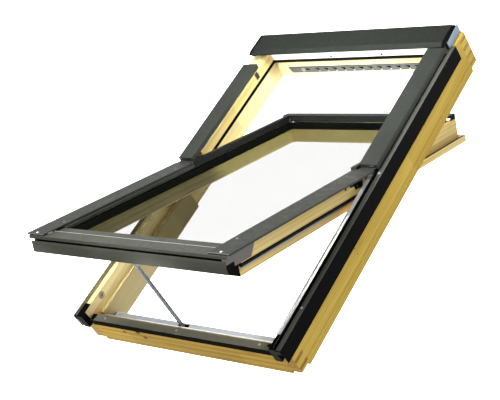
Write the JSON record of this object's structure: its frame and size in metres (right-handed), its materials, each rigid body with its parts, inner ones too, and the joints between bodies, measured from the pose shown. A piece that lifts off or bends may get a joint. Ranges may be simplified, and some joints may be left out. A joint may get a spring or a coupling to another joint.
{
  "type": "roof window",
  "caption": "Centre-pivot timber roof window with grey metal covers, double glazing, a head vent and an electric push-chain opener, standing open.",
  "frame": {"origin": "middle of the sill's underside", "axes": "+Z outwards, square to the roof; +Y up the roof slope from sill to head; +X across the window to the right seen from outside"},
  "size_m": [0.784, 1.201, 0.6118],
  "materials": {
    "pine": "clear lacquered",
    "grey_cover": "satin powder coat",
    "dark_hood": "satin powder coat",
    "black_cladding": "satin",
    "black_plastic": "matte",
    "seal": "matte",
    "silver": "satin anodised",
    "white_strip": "satin",
    "steel": "zinc plated",
    "bronze": "satin",
    "vent_grey": "satin",
    "bush": "matte",
    "pane": "clear"
  },
  "bodies": {
    "frame": {"frame_jamb_left": "pine", "frame_jamb_right": "pine", "frame_head": "pine", "frame_sill": "pine", "stop_left": "pine", "stop_right": "pine", "stop_head": "pine", "frame_gasket": "seal", "jamb_cladding_left": "black_cladding", "jamb_cladding_right": "black_cladding", "corner_block_left": "black_plastic", "corner_block_right": "black_plastic", "jamb_edge_strip": "silver", "sill_cladding": "grey_cover", "trim_screws": "steel", "upper_cover_left": "grey_cover", "upper_cover_right": "grey_cover", "cover_clips": "black_plastic", "hood": "dark_hood", "hood_cap_left": "black_plastic", "hood_cap_right": "black_plastic", "head_flashing": "silver", "head_strip": "white_strip", "vent_grille": "vent_grey", "guide_plate": "grey_cover", "bolt_bush": "bush", "actuator_housing": "silver", "actuator_cover": "silver", "actuator_end_caps": "black_plastic", "actuator_motor": "steel", "chain_guide": "black_plastic", "hinge_track_left": "bronze", "hinge_track_right": "bronze", "hinge_screws": "steel"},
    "sash": {"sash_stile_left": "pine", "sash_stile_right": "pine", "sash_top_rail": "pine", "sash_bottom_rail": "pine", "glass_outer": "pane", "glass_inner": "pane", "glass_spacer": "seal", "glazing_gasket": "seal", "sash_cover_left": "grey_cover", "sash_cover_right": "grey_cover", "sash_bottom_cover": "grey_cover", "sash_fascia": "grey_cover", "end_plate_left": "grey_cover", "end_plate_right": "grey_cover", "glazing_profile_left": "grey_cover", "glazing_profile_right": "grey_cover", "sash_head_profile": "grey_cover", "sash_gasket": "seal", "seal_strips": "silver", "hinge_slider_left": "bronze", "hinge_slider_right": "bronze", "chain_bracket": "steel", "cover_rivets": "white_strip"},
    "chain": {"drive_chain": "steel"},
    "shutter": {"vent_shutter": "vent_grey"}
  },
  "joints": [
    {"name": "sash_pivot", "type": "hinge", "parent": "frame", "child": "sash", "pos_m": [0, 0.58, 0.176], "axis": [1, 0, 0], "range_deg": [0, 27.5], "deforming": ["drive_chain"]},
    {"name": "chain_tilt", "type": "hinge", "parent": "frame", "child": "chain", "pos_m": [-0.045, 0.034, 0.053], "axis": [1, 0, 0], "range_deg": [0, 13.75], "deforming": ["drive_chain"]},
    {"name": "vent_slide", "type": "slide", "parent": "frame", "child": "shutter", "axis": [1, 0, 0], "range_m": [0, 0.017]}
  ],
  "couplings": [
    {"joint": "chain_tilt", "follows": "sash_pivot", "ratio": 0.5}
  ]
}
